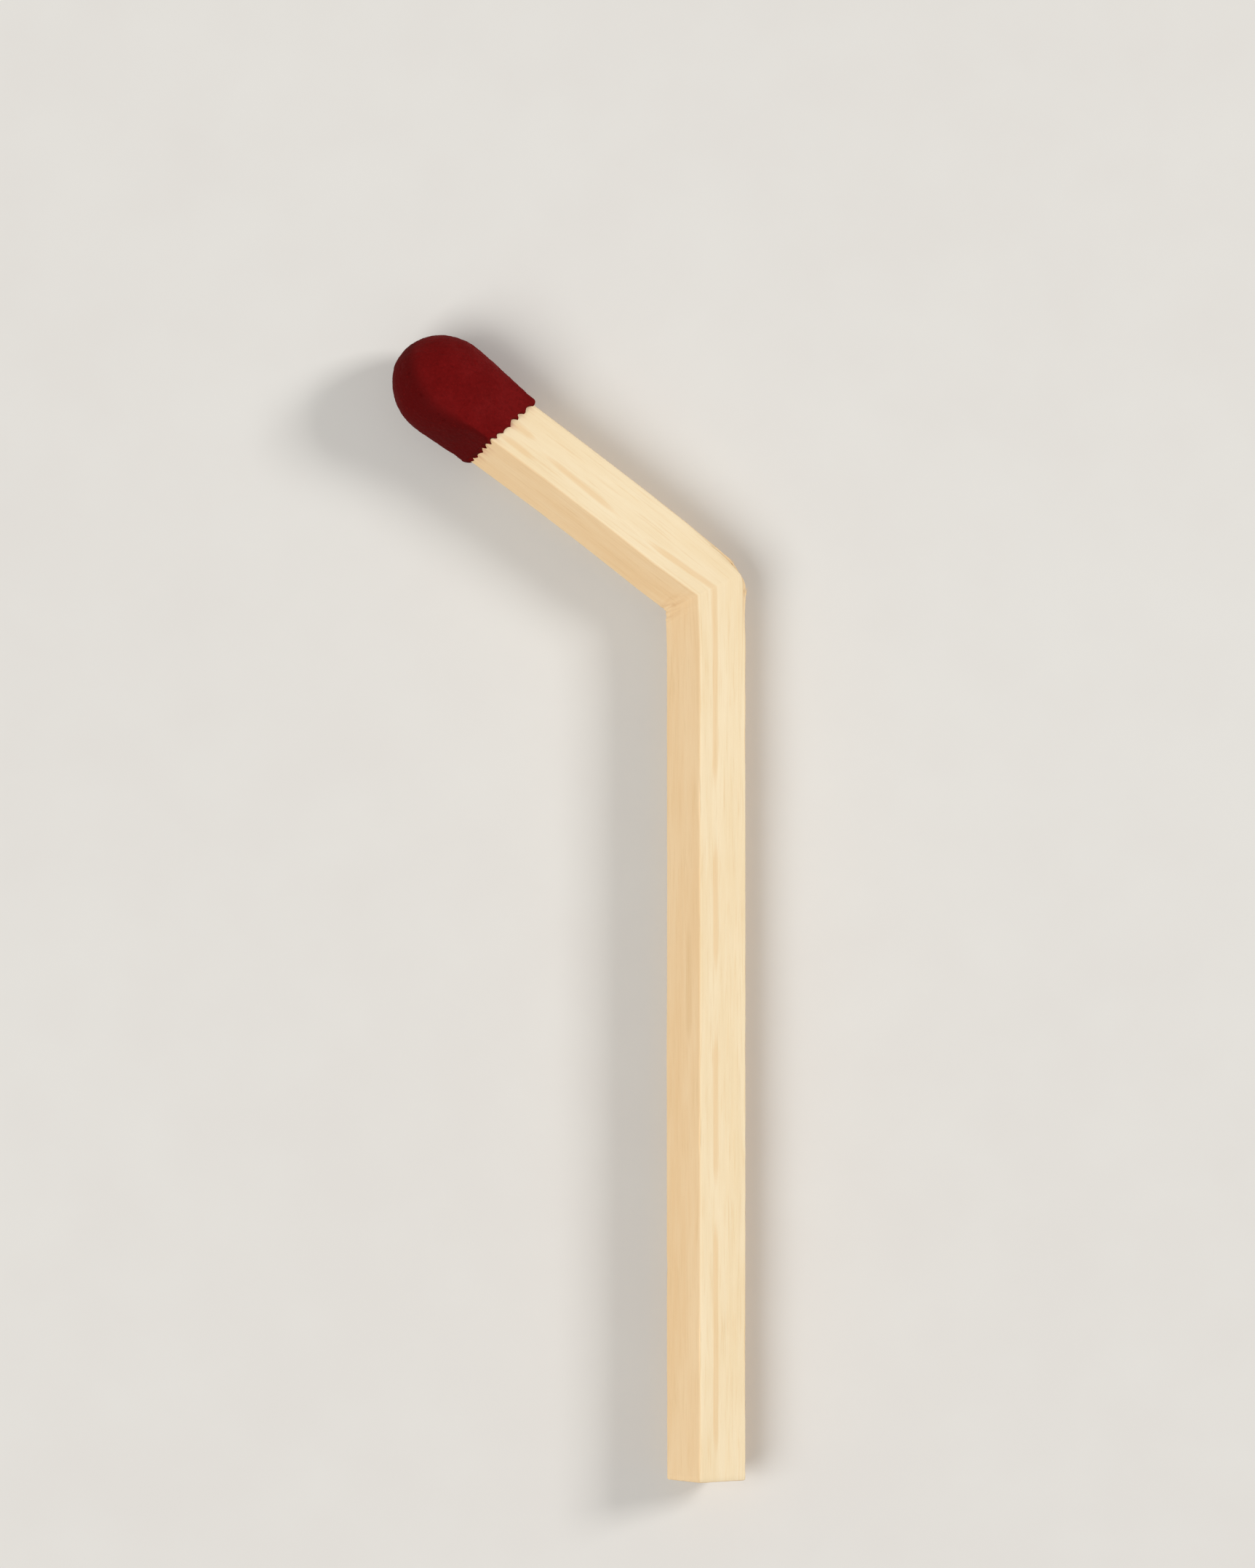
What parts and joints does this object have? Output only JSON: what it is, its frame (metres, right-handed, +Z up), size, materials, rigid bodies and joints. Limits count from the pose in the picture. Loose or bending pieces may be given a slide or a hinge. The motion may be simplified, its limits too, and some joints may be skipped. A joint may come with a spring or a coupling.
{
  "type": "broken match",
  "caption": "Broken wooden match: a square splint snapped into a sharp kink but still in one piece, with a rounded dark red dipped head on its short arm.",
  "frame": {"origin": "middle of the box around the match, on the surface that it lies on", "axes": "+Y along the stem towards the kink and the head, +Z up from the surface, and the short arm leaves the kink towards -X"},
  "size_m": [0.0132, 0.0428, 0.0038],
  "materials": {
    "pale_wood": "satin",
    "striking_compound": "matte"
  },
  "bodies": {
    "root": {"splint": "pale_wood", "match_head": "striking_compound"}
  },
  "joints": []
}
